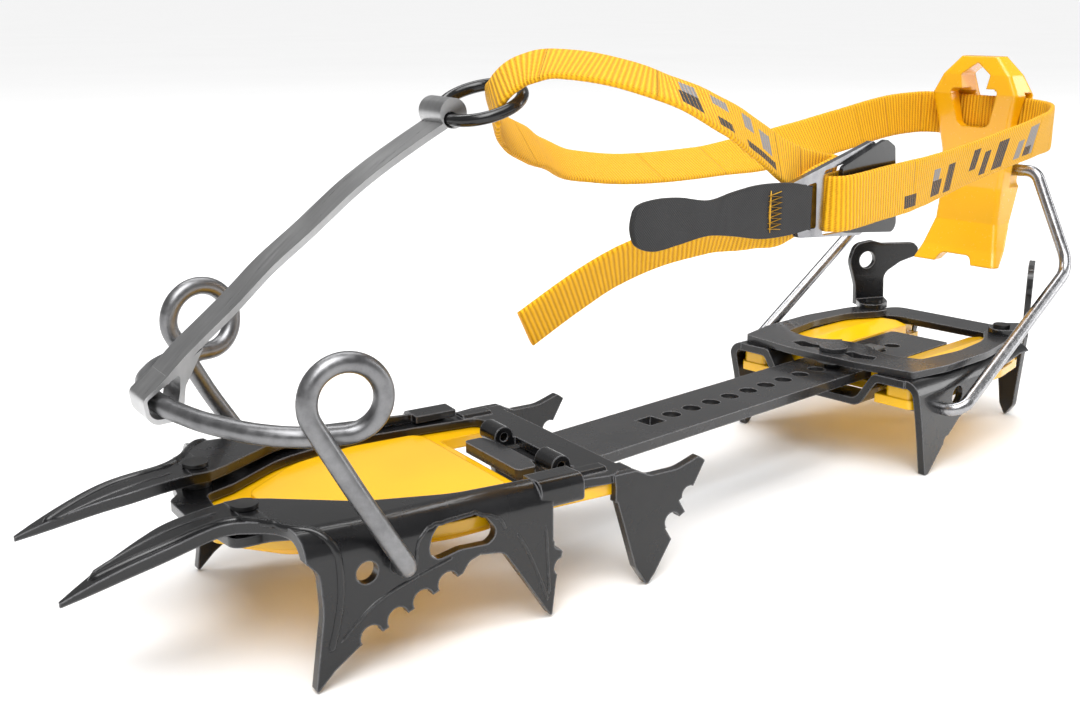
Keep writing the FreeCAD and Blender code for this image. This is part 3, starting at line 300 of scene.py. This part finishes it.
# The fifth colour of each coated steel is its painted edge highlight.
BLACK = coated_steel("coated_black", (0.004, 0.004, 0.0045), (0.009, 0.009, 0.010), 0.2, 0.34,
                     (0.22, 0.22, 0.23), 0.0007)
GREY = coated_steel("coated_grey", (0.018, 0.018, 0.019), (0.034, 0.034, 0.036), 0.2, 0.34,
                    (0.30, 0.30, 0.31), 0.0006)
GLOSS_BLACK = coated_steel("gloss_black", (0.006, 0.006, 0.006), (0.010, 0.010, 0.011), 0.12, 0.2,
                           (0.10, 0.10, 0.10), 0.0004)
YELLOW = glossy_plastic("moulded_yellow", (0.97, 0.55, 0.004), (0.90, 0.47, 0.002), 0.16)
LEVER_YELLOW = glossy_plastic("lever_yellow", (0.95, 0.50, 0.004), (0.86, 0.42, 0.002), 0.2)
TOE_WIRE = bare_steel("toe_wire_steel", (0.15, 0.15, 0.155), (0.27, 0.27, 0.275), 0.36, (1, 1, 1))
REAR_WIRE = bare_steel("rear_wire_steel", (0.26, 0.26, 0.27), (0.44, 0.44, 0.45), 0.24, (1, 1, 1))
LINK_STEEL = bare_steel("link_strip_steel", (0.34, 0.34, 0.345), (0.52, 0.52, 0.52), 0.32, (0.12, 2, 0.12))
RIVET_STEEL = bare_steel("rivet_steel", (0.04, 0.04, 0.042), (0.10, 0.10, 0.10), 0.4, (1, 1, 1))
SPRING_STEEL = bare_steel("spring_steel", (0.40, 0.40, 0.41), (0.60, 0.60, 0.60), 0.3, (0.2, 1, 1))
BUCKLE_STEEL = bare_steel("polished_steel", (0.20, 0.20, 0.21), (0.40, 0.40, 0.41), 0.16, (0.5, 1, 0.5))
TAPE = black_tape("black_tape")
WEB_PLAIN = webbing("webbing_plain", [])

MATERIALS = {
    "front_frame": BLACK, "cross_yoke": BLACK, "heel_frame": BLACK, "cradle_posts": BLACK,
    "center_bar": GREY, "heel_cradle": GREY, "front_antibott": YELLOW, "heel_antibott": YELLOW,
    "heel_lever": LEVER_YELLOW, "front_rivets": RIVET_STEEL, "cradle_rivets": RIVET_STEEL,
    "latch_pin": GREY, "latch_spring": SPRING_STEEL, "rear_bail": REAR_WIRE,
    "toe_bail": TOE_WIRE, "toe_link": LINK_STEEL, "tether_ring": GLOSS_BLACK,
    "buckle_frame": BUCKLE_STEEL, "buckle_plate": GLOSS_BLACK, "pull_tab": TAPE,
}
for node_name, node in nodes.items():
    node.data.materials.clear()
    node.data.materials.append(MATERIALS.get(node_name, WEB_PLAIN))


# --- mesh helpers -------------------------------------------------------------------------------
def add_mesh(name, bm, material):
    mesh = bpy.data.meshes.new(name)
    bm.to_mesh(mesh)
    bm.free()
    mesh.materials.append(material)
    piece = bpy.data.objects.new(name, mesh)
    bpy.context.scene.collection.objects.link(piece)
    return piece


def smooth(piece):
    for polygon in piece.data.polygons:
        polygon.use_smooth = True
    return piece


def catmull(points, t):
    """Point at parameter t on a smooth curve through the points."""
    index = min(int(t), len(points) - 2)
    u = t - index
    p1, p2 = points[index], points[index + 1]
    p0 = points[index - 1] if index > 0 else p1 * 2 - p2
    p3 = points[index + 2] if index + 2 < len(points) else p2 * 2 - p1
    span = max((p2 - p1).length, 1e-6)
    m1 = (p2 - p0) * (span / max((p2 - p0).length, 1e-6))
    m2 = (p3 - p1) * (span / max((p3 - p1).length, 1e-6))
    h = u * u * (3 - 2 * u)
    return (p1 * (1 - h) + p2 * h + m1 * (u * (1 - u) * (1 - u)) - m2 * (u * u * (1 - u)))


def strap_samples(stations, step=1.0):
    """Evenly spaced (centre, width direction, width, distance) along a strap, in drawing mm."""
    centres = [Vector(station[0]) for station in stations]
    sides = [Vector(station[1]).normalized() for station in stations]
    widths = [station[2] if len(station) > 2 else 14.1 for station in stations]
    fine = []
    for index in range(len(stations) - 1):
        count = max(4, int((centres[index + 1] - centres[index]).length / 0.4))
        for k in range(count):
            t = index + k / count
            h = (k / count) ** 2 * (3 - 2 * k / count)
            side = sides[index].lerp(sides[index + 1], h)
            wide = widths[index] * (1 - h) + widths[index + 1] * h
            fine.append((catmull(centres, t), side, wide))
    fine.append((centres[-1], sides[-1], widths[-1]))
    samples = [(fine[0][0], fine[0][1], fine[0][2], 0.0)]
    distance = 0.0
    last = 0.0
    for before, here in zip(fine, fine[1:]):
        distance += (here[0] - before[0]).length
        if distance - last >= step:
            samples.append((here[0], here[1], here[2], distance))
            last = distance
    if distance - last > 0.2:
        samples.append((fine[-1][0], fine[-1][1], fine[-1][2], distance))
    return samples


def ribbon(name, samples, low, high, material, thick=1.5, sag=0.0, uv_start=0.0):
    """Webbing from sample number low to high: rounded edges, a slight crown and ribbed edges."""
    profile = [(-0.5, -0.18), (-0.475, -0.42), (-0.40, -0.5), (-0.2, -0.5), (0.0, -0.5), (0.2, -0.5),
               (0.40, -0.5), (0.475, -0.42), (0.5, -0.18), (0.5, 0.18), (0.475, 0.42), (0.40, 0.5),
               (0.2, 0.5), (0.0, 0.5), (-0.2, 0.5), (-0.40, 0.5), (-0.475, 0.42), (-0.5, 0.18)]
    bm = bmesh.new()
    layer = bm.loops.layers.uv.new("UVMap")
    rings = []
    for index in range(low, high + 1):
        centre, side, wide, distance = samples[index]
        before = samples[max(index - 1, 0)][0]
        after = samples[min(index + 1, len(samples) - 1)][0]
        run = (after - before).normalized()
        side = (side - run * side.dot(run)).normalized()
        face = run.cross(side).normalized()
        ripple = 1.0 + 0.004 * math.sin(distance * 1.9)
        ring = []
        for u, v in profile:
            crown = sag * (0.25 - u * u) * 4.0
            spot = centre + side * (u * wide * ripple) + face * (v * thick + crown)
            ring.append(bm.verts.new(place(*spot)))
        rings.append((ring, distance, wide))
    for (ring, start, wide), (following, end, wide_b) in zip(rings, rings[1:]):
        for k in range(len(profile)):
            n = (k + 1) % len(profile)
            face = bm.faces.new((ring[k], ring[n], following[n], following[k]))
            spots = ((start, k, wide), (start, n, wide), (end, n, wide_b), (end, k, wide_b))
            for loop, (distance, number, breadth) in zip(face.loops, spots):
                loop[layer].uv = (distance + uv_start, profile[number][0] * breadth)
            face.smooth = True
    for ring, distance, wide in (rings[0], rings[-1]):
        cap = bm.faces.new(ring)
        for loop in cap.loops:
            loop[layer].uv = (distance + uv_start, 0.0)
    bmesh.ops.recalc_face_normals(bm, faces=bm.faces)
    return add_mesh(name, bm, material)


def crossing(samples, x, forward=True):
    """Number of the first sample past a place along the boot."""
    for index, sample in enumerate(samples):
        if (sample[0].x <= x) == forward:
            return index
    return len(samples) - 1


def tube(name, bodies, routes, radius, material, sides=8, flat=1.0):
    """Round beads or wires along routes of row places, joined into one piece."""
    bm = bmesh.new()
    for route in routes:
        rings = []
        for index, spot in enumerate(route):
            run = (route[min(index + 1, len(route) - 1)] - route[max(index - 1, 0)]).normalized()
            across = run.cross(Vector((0.2, 0.9, 0.4))).normalized()
            lift = run.cross(across)
            taper = 0.35 if index in (0, len(route) - 1) else 1.0
            ring = []
            for k in range(sides):
                bearing = 2 * math.pi * k / sides
                offset = across * math.cos(bearing) + lift * (math.sin(bearing) * flat)
                ring.append(bm.verts.new(spot + offset * (radius * taper / 1000.0)))
            rings.append(ring)
        for ring, following in zip(rings, rings[1:]):
            for k in range(sides):
                n = (k + 1) % sides
                bm.faces.new((ring[k], ring[n], following[n], following[k])).smooth = True
        bm.faces.new(rings[0])
        bm.faces.new(rings[-1])
    bmesh.ops.recalc_face_normals(bm, faces=bm.faces)
    piece = add_mesh(name, bm, material)
    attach(piece, bodies)
    return piece


def smooth_route(points, count=10):
    spots = [Vector(point) for point in points]
    steps = (len(spots) - 1) * count
    return [catmull(spots, min(index / count, len(spots) - 1.0001)) for index in range(steps + 1)]


# --- the strap ----------------------------------------------------------------------------------
UP = (0, 0, 1)
NEAR = [
    ((331.2, 0.0, 101.8), UP), ((331.2, -14.0, 101.7), UP), ((330.6, -20.0, 101.4), UP),
    ((327.0, -26.4, 101.0), UP), ((318.0, -31.8, 100.7), UP), ((304.0, -36.0, 100.1), (0.05, -0.2, 1)),
    ((284.0, -38.0, 98.2), (0.08, -0.3, 1)), ((262.0, -38.5, 95.6), (0.08, -0.3, 1)),
    ((244.0, -39.4, 93.6), (0.05, -0.2, 1)), ((230.0, -41.0, 92.7), (0.03, -0.1, 1)),
    ((218.0, -42.4, 92.3), UP), ((206.0, -43.0, 91.9), (0.03, 0, 1)),
    ((196.0, -43.3, 91.3), (0.05, 0, 1)), ((190.0, -42.7, 90.9), (0.06, 0, 1)),
    ((187.0, -40.7, 90.8), (0.06, 0, 1)), ((187.0, -38.1, 90.8), (0.06, 0, 1)),
    ((190.2, -37.2, 91.0), (0.03, 0, 1)), ((198.0, -37.1, 91.6), UP),
]
FAR = [
    ((331.2, 0.0, 101.8), UP), ((331.2, 12.0, 102.0), UP), ((330.2, 17.6, 102.2), UP),
    ((325.6, 21.4, 102.2), UP), ((312.0, 25.2, 101.2), (0, 0.12, 1)), ((290.0, 28.2, 97.8), (0, 0.3, 1)),
    ((268.0, 29.6, 95.0), (0, 0.55, 0.9)), ((246.0, 30.2, 93.2), (0, 0.75, 0.7)),
    ((222.0, 30.5, 92.4), (0, 0.86, 0.51)), ((190.0, 30.5, 93.0), (0.02, 0.87, 0.5)),
    ((168.0, 30.0, 95.6), (0.04, 0.84, 0.55)), ((154.0, 28.0, 99.2), (0.01, 0.7, 0.71)),
    ((143.0, 22.4, 103.2), (-0.04, 0.65, 0.76)), ((130.3, 16.2, 106.8), (-0.05, 0.6, 0.8)),
    ((119.8, 10.3, 111.2), (0.1, 0.55, 0.83), 13.8), ((113.6, 5.4, 114.8), (0.35, 0.66, 0.66), 13.4),
    ((110.9, 2.0, 117.8), (0.42, 0.80, 0.44), 13.0), ((110.7, -0.1, 120.9), (0.46, 0.80, 0.42), 13.0),
    ((112.4, -2.6, 123.8), (0.5, 0.75, 0.45), 13.2), ((115.4, -6.4, 126.0), (0.64, 0.62, 0.45), 13.8),
    ((119.4, -12.4, 126.8), (0.76, 0.53, 0.36)), ((126.5, -23.0, 125.0), (0.74, 0.57, 0.34)),
    ((135.0, -31.0, 121.2), (0.55, 0.73, 0.41)), ((148.0, -34.6, 115.4), (0.39, 0.69, 0.61)),
    ((160.0, -34.9, 109.6), (0.36, 0.58, 0.73)), ((172.0, -34.2, 103.4), (0.36, 0.5, 0.79)),
    ((182.0, -33.4, 98.6), (0.2, 0.3, 0.9)), ((193.0, -32.4, 95.4), UP), ((196.2, -33.8, 95.0), UP),
    ((193.4, -35.2, 94.4), UP), ((186.0, -35.3, 92.6), UP), ((180.0, -35.4, 90.4), UP),
    ((172.0, -35.7, 88.2), (-0.05, -0.08, 1)), ((165.0, -34.6, 87.6), (-0.2, -0.3, 0.92)),
    ((152.0, -30.6, 86.3), (-0.38, -0.46, 0.8)), ((140.4, -24.6, 83.2), (-0.45, -0.48, 0.75)),
    ((129.8, -19.8, 79.2), (-0.51, -0.42, 0.75)), ((120.7, -15.8, 73.9), (-0.58, -0.36, 0.73)),
    ((108.9, -10.9, 65.9), (-0.60, -0.34, 0.72)),
]


def cut_strap(name, samples, cuts, first_node_sets, material, pieces, uv_start=0.0, thick=1.5):
    """Divide a strap at sample numbers; a length whose rule names one body rides on it, and any other length keeps its
    baked place and rides on no body.
    """
    made = []
    for number, ((low, high), rule) in enumerate(zip(zip(cuts, cuts[1:]), pieces)):
        piece = ribbon("%s_%d" % (name, number + 1), samples, low, high, material, thick, 0.0, uv_start)
        if len(rule) == 1:
            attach(piece, rule[0])
        else:
            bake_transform(piece)
        if first_node_sets.get(number):
            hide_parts(*first_node_sets[number])
        made.append(piece)
    return made


near_samples = strap_samples(NEAR)
far_samples = strap_samples(FAR)
CHARCOAL = (0.03, 0.03, 0.034)
SILVER = (0.26, 0.26, 0.27)
WEB_NEAR = webbing("webbing_near", [
    (60.0, 66.5, -4.6, 5.0, SILVER), (62.0, 66.5, -4.6, -1.6, CHARCOAL), (68.5, 72.5, -4.6, 1.5, SILVER),
    (80.0, 86.0, -5.0, 4.2, CHARCOAL), (90.0, 93.5, -5.0, 2.6, CHARCOAL), (97.0, 101.0, -2.0, 4.6, CHARCOAL),
    (111.0, 115.0, -5.4, 3.0, CHARCOAL), (118.0, 124.0, -5.0, -0.5, CHARCOAL),
    (120.0, 124.0, -0.5, 2.8, SILVER), (134.0, 141.0, -5.6, -2.2, CHARCOAL),
])
near_cuts = [0, crossing(near_samples, 328.0), crossing(near_samples, 313.0),
             crossing(near_samples, 298.0), crossing(near_samples, 222.0), len(near_samples) - 1]
near_rules = [
    ("lever",),
    ("lever", "strap_rear", place(326.6, -27, 100), place(315.0, -33, 100)),
    ("strap_rear", "strap_slide", place(311.6, -34, 100), place(299.4, -37, 100)),
    ("strap_slide", "strap_middle", place(296.0, -38, 95), place(224.0, -38, 95)),
    ("strap_middle",),
]
cut_strap("strap_near", near_samples, near_cuts, {
    0: ["strap_lever"], 2: ["strap_near_rear"], 3: ["strap_near_slide"], 4: ["strap_near_buckle"],
}, WEB_NEAR, near_rules)

turn_index = min(range(len(far_samples)), key=lambda n: far_samples[n][0].x + (1000 if far_samples[n][3] > 330 else 0))
outward = far_samples[turn_index:]


def out_index(x):
    return turn_index + crossing(outward, x, False)


WEB_FAR = webbing("webbing_far", [
    (300.0, 306.0, -5.0, 0.6, CHARCOAL), (301.0, 306.0, 0.6, 4.6, SILVER),
    (311.0, 316.0, -5.4, -2.4, CHARCOAL), (311.0, 317.0, 1.8, 4.8, SILVER),
    (322.0, 336.0, -5.8, -3.6, CHARCOAL), (323.0, 327.0, 0.4, 4.8, SILVER), (330.0, 335.0, -2.4, 3.4, SILVER),
    (361.0, 366.0, -5.2, -0.2, CHARCOAL), (361.0, 366.0, -0.2, 4.8, SILVER), (369.0, 374.0, 1.4, 4.4, SILVER),
    (369.5, 373.0, -4.6, -2.2, CHARCOAL),
])
far_cuts = [0, crossing(far_samples, 328.0), crossing(far_samples, 313.0), crossing(far_samples, 298.0),
            crossing(far_samples, 226.0), crossing(far_samples, 196.0), crossing(far_samples, 136.0),
            crossing(far_samples, 118.0), out_index(116.5), out_index(132.0), out_index(171.0),
            out_index(182.0), len(far_samples) - 1]
far_rules = [
    ("lever",),
    ("lever", "strap_rear", place(326.0, 20, 100), place(315.0, 22, 100)),
    ("strap_rear", "strap_slide", place(311.6, 25, 100), place(299.4, 25, 100)),
    ("strap_slide", "strap_middle", place(296.0, 28, 95), place(228.0, 28, 95)),
    ("strap_middle", "strap_top", place(224.0, 30, 93), place(198.0, 30, 93)),
    ("strap_top", "strap_toe", place(194.0, 30, 93), place(139.0, 30, 93)),
    ("strap_toe", "ring", place(134.0, 0, 110), place(119.0, 0, 110)),
    ("ring",),
    ("strap_toe", "ring", place(130.0, -25, 122), place(118.0, -25, 122)),
    ("strap_top", "strap_toe", place(167.0, -34, 112), place(134.0, -34, 112)),
    ("strap_middle", "strap_top", place(180.0, -34, 100), place(174.0, -34, 100)),
    ("strap_middle",),
]
cut_strap("strap_far", far_samples, far_cuts, {
    2: ["strap_far_rear"], 3: ["strap_far_slide"], 4: ["strap_far_middle"], 5: ["strap_far_top"],
    6: ["strap_far_toe"], 7: ["strap_ring"], 8: ["strap_near_toe"], 9: ["strap_near_top"],
    11: ["strap_tail"],
}, WEB_FAR, far_rules)


# --- pressed beads of the front frame -------------------------------------------------------------
def surface_route(node_name, points, hand, buried):
    """Route along the skin of a front node: each guess is taken to the nearest place of the mesh."""
    node = nodes[node_name]
    inverse = node.matrix_world.inverted()
    route = []
    for x, y, z in smooth_route(points, 8):
        guess = front(x, y * hand, z)
        hit, spot, normal, _ = node.closest_point_on_mesh(inverse @ guess)
        spot = node.matrix_world @ (spot - normal * (buried / 1000.0))
        if not route or (spot - route[-1]).length > 0.0003:
            route.append(spot)
    return route


POINT_BEAD = [(5.0, 18.2, 31.0), (14.0, 19.8, 35.0), (22.0, 20.6, 37.0), (30.0, 19.8, 38.5), (36.0, 20.2, 39.5),
              (40.6, 24.6, 40.0), (44.6, 30.4, 39.5), (48.6, 35.0, 37.5), (51.2, 39.0, 33.5),
              (52.2, 41.0, 28.0), (52.2, 41.0, 21.0), (51.0, 41.0, 14.5), (49.4, 41.0, 9.0)]
POINT_GROOVE = [(6.0, 16.4, 31.0), (16.0, 15.4, 35.5), (26.0, 14.6, 38.0), (35.0, 14.6, 39.5)]
WINDOW_BEAD = [(70.6, 41.0, 23.0), (71.2, 41.0, 28.4), (74.6, 41.0, 32.8), (80.0, 41.0, 33.6),
               (87.4, 41.0, 33.4), (92.2, 41.0, 29.6), (94.6, 41.0, 25.6)]
TOOTH_CREASE = [(51.6, 41.0, 10.4), (60.0, 41.0, 17.4), (70.0, 41.0, 20.6), (80.6, 41.0, 22.8)]
REAR_CREASE = [(97.6, 41.0, 24.0), (101.6, 41.0, 17.0), (104.6, 41.0, 10.0), (106.6, 41.0, 4.6)]
REAR_SPLIT = [(106.0, 41.0, 24.0), (106.6, 41.0, 14.0), (107.0, 41.0, 6.0)]

for hand, side in ((-1, "near"), (1, "far")):
    tube("front_bead_" + side, "front_section", [surface_route("front_frame", POINT_BEAD, hand, 0.35)],
         1.0, BLACK)
    fine = [POINT_GROOVE, WINDOW_BEAD, TOOTH_CREASE, REAR_CREASE, REAR_SPLIT]
    tube("front_creases_" + side, "front_section",
         [surface_route("front_frame", line, hand, 0.25) for line in fine], 0.55, BLACK)


# --- pull tab with its bar tack -------------------------------------------------------------------
def closed_curve(points, count=8):
    """Smooth closed outline through points, where a repeated point keeps a corner sharp."""
    spots = [Vector((x, 0.0, z)) for x, z in points]
    total = len(spots)
    outline = []
    for index in range(total):
        p0, p1 = spots[index - 1], spots[index]
        p2, p3 = spots[(index + 1) % total], spots[(index + 2) % total]
        for k in range(count):
            u = k / count
            a = (p1 * 2 + (p2 - p0) * u + (p0 * 2 - p1 * 5 + p2 * 4 - p3) * u ** 2
                 + (p1 * 3 - p0 - p2 * 3 + p3) * u ** 3) * 0.5
            outline.append(a)
    return outline


def make_tab():
    outline = closed_curve([(113.0, 94.6), (114.8, 97.8), (121.0, 98.7), (129.0, 98.3), (139.0, 96.7),
                            (148.0, 97.8), (158.0, 98.5), (170.0, 97.8), (177.4, 96.1), (177.9, 95.6),
                            (177.9, 86.0), (177.2, 85.5), (168.0, 85.0), (158.0, 85.4), (147.0, 87.4),
                            (138.0, 88.5), (128.0, 87.7), (120.0, 87.2), (115.0, 88.8), (113.2, 91.4)])
    middle = Vector((146.0, 0.0, 92.0))
    bm = bmesh.new()
    rings = []
    for level, inset in ((-39.75, 0.45), (-39.95, 0.1), (-40.3, 0.0), (-40.75, 0.0), (-41.05, 0.12),
                         (-41.2, 0.5)):
        ring = []
        for number, spot in enumerate(outline):
            inward = (middle - spot).normalized() * inset
            wave = 0.05 * math.sin(number * 1.7)
            ring.append(bm.verts.new(place(spot.x + inward.x, level + wave * 0.4, spot.z + inward.z)))
        rings.append(ring)
    total = len(outline)
    for ring, following in zip(rings, rings[1:]):
        for k in range(total):
            n = (k + 1) % total
            bm.faces.new((ring[k], ring[n], following[n], following[k])).smooth = True
    bm.faces.new(rings[0])
    bm.faces.new(rings[-1])
    bmesh.ops.recalc_face_normals(bm, faces=bm.faces)
    tab = add_mesh("tab_fabric", bm, TAPE)
    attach(tab, "tab")
    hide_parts("pull_tab")
    stitches = []
    for number in range(15):
        z = 87.0 + number * 0.66
        stitches.append(place(160.2 if number % 2 else 165.0, -41.3, z))
    edges = [[place(161.0, -41.3, 86.6), place(160.6, -41.35, 91.0), place(160.9, -41.3, 96.8)]]
    tube("tab_stitches", "tab", [stitches] + edges, 0.33, THREAD, 6)


THREAD, thread_nodes, thread_links, thread_shader = new_material("stitch_thread")
twist = noise(thread_nodes, thread_links, object_vector(thread_nodes), 1800.0, 3.0)
thread_links.new(ramp(thread_nodes, thread_links, twist, [(0.3, (0.50, 0.24, 0.004)), (0.7, (0.80, 0.44, 0.02))]),
                 thread_shader.inputs["Base Color"])
thread_shader.inputs["Roughness"].default_value = 0.6
bump(thread_nodes, thread_links, thread_shader, [(twist, 0.5, 0.0001)])
make_tab()


# --- floor, light and camera --------------------------------------------------------------------
def make_floor():
    bm = bmesh.new()
    reach = 90.0
    corners = [bm.verts.new((x, y, 0.0)) for x, y in ((-reach, -reach), (reach, -reach), (reach, reach),
                                                      (-reach, reach))]
    bm.faces.new(corners)
    material, nodes_, links, shader = new_material("studio_floor")
    cloud = noise(nodes_, links, object_vector(nodes_), 3.0)
    links.new(ramp(nodes_, links, cloud, [(0.3, (0.955, 0.955, 0.955)), (0.7, (0.975, 0.975, 0.975))]),
              shader.inputs["Base Color"])
    shader.inputs["Roughness"].default_value = 0.6
    shader.inputs["Specular IOR Level"].default_value = 0.2
    floor = add_mesh("floor", bm, material)


def area_light(name, location, target, size, power):
    data = bpy.data.lights.new(name, "AREA")
    data.shape = "RECTANGLE"
    data.size, data.size_y = size
    data.energy = power
    lamp = bpy.data.objects.new(name, data)
    lamp.location = location
    lamp.rotation_euler = (Vector(target) - Vector(location)).to_track_quat("-Z", "Y").to_euler()
    bpy.context.scene.collection.objects.link(lamp)


make_floor()
world = bpy.data.worlds.new("studio")
world.use_nodes = True
world.node_tree.nodes["Background"].inputs["Color"].default_value = (1.0, 1.0, 1.0, 1.0)
world.node_tree.nodes["Background"].inputs["Strength"].default_value = 0.34
bpy.context.scene.world = world
area_light("key", (-0.6, -0.5, 1.0), (0, 0, 0.05), (0.5, 0.9), 7.0)
area_light("top", (0.3, 0.5, 1.1), (0, 0, 0.05), (1.3, 0.35), 7.0)
area_light("rim", (1.0, -0.6, 0.45), (0, 0, 0.06), (0.2, 0.9), 3.0)
sun_data = bpy.data.lights.new("sky", "SUN")
sun_data.energy = 2.3
sun_data.angle = math.radians(50)
sun = bpy.data.objects.new("sky", sun_data)
sun.rotation_euler = (math.radians(16), math.radians(-14), 0.0)
bpy.context.scene.collection.objects.link(sun)

camera_data = bpy.data.cameras.new("camera")
camera_data.sensor_width = 36.0
LENS_MM = 44.0907
camera_data.lens = LENS_MM
camera = bpy.data.objects.new("camera", camera_data)
camera.location = place(-94.46, -234.85, 141.83)
camera.rotation_euler = (math.radians(90 - 15.41), 0.0, math.radians(-42.9))
bpy.context.scene.collection.objects.link(camera)
bpy.context.scene.camera = camera
bpy.context.scene.view_settings.view_transform = "Standard"
